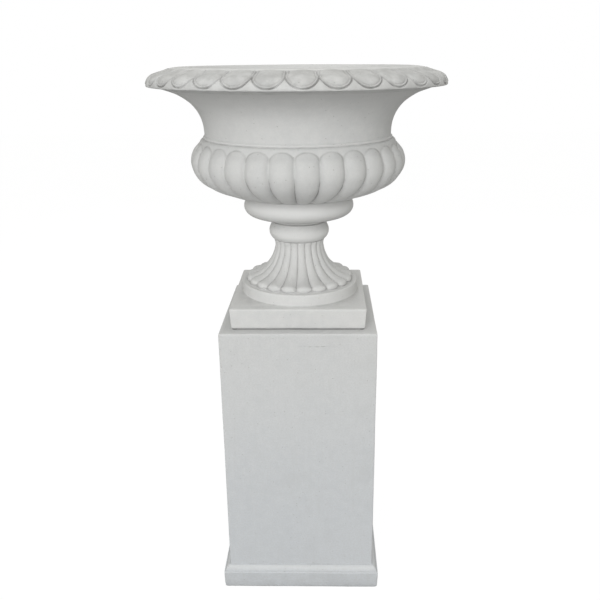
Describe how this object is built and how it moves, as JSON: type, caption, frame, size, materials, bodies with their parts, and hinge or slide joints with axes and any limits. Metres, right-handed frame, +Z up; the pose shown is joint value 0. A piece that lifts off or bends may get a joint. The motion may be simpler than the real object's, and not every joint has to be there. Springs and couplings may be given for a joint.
{
  "type": "garden urn on pedestal",
  "caption": "Wide-rimmed garden urn with a gadrooned bowl and reeded foot, standing on a tall square pedestal; used as a planter or a finial.",
  "frame": {"origin": "centre of the pedestal's underside, on the floor", "axes": "+Z up along the urn's axis, -Y towards the front, +X to the viewer's right"},
  "size_m": [0.5557, 0.5556, 1.0545],
  "materials": {
    "pedestal_stone": "matt painted cast stone",
    "foot_stone": "matt painted cast stone",
    "bowl_stone": "matt painted cast stone",
    "board_wood": "bare plywood",
    "pad_rubber": "matt",
    "gasket_rubber": "matt",
    "seal_rubber": "matt",
    "tube_brass": "dulled",
    "washer_steel": "zinc plated",
    "nut_brass": "dulled",
    "plug_rubber": "matt"
  },
  "bodies": {
    "pedestal": {"pedestal_shell": "pedestal_stone", "load_board": "board_wood"},
    "urn": {"bearing_pads": "pad_rubber", "foot": "foot_stone", "joint_gasket": "gasket_rubber", "bowl": "bowl_stone", "flange_seal": "seal_rubber", "drain_tube": "tube_brass", "clamp_washer": "washer_steel", "clamp_nut": "nut_brass"},
    "plug": {"drain_plug": "plug_rubber"}
  },
  "joints": [
    {"name": "urn_lift", "type": "slide", "parent": "pedestal", "child": "urn", "axis": [0, 0, 1], "range_m": [0, 0.15]},
    {"name": "plug_pull", "type": "slide", "parent": "urn", "child": "plug", "axis": [0, 0, 1], "range_m": [0, 0.3]}
  ]
}
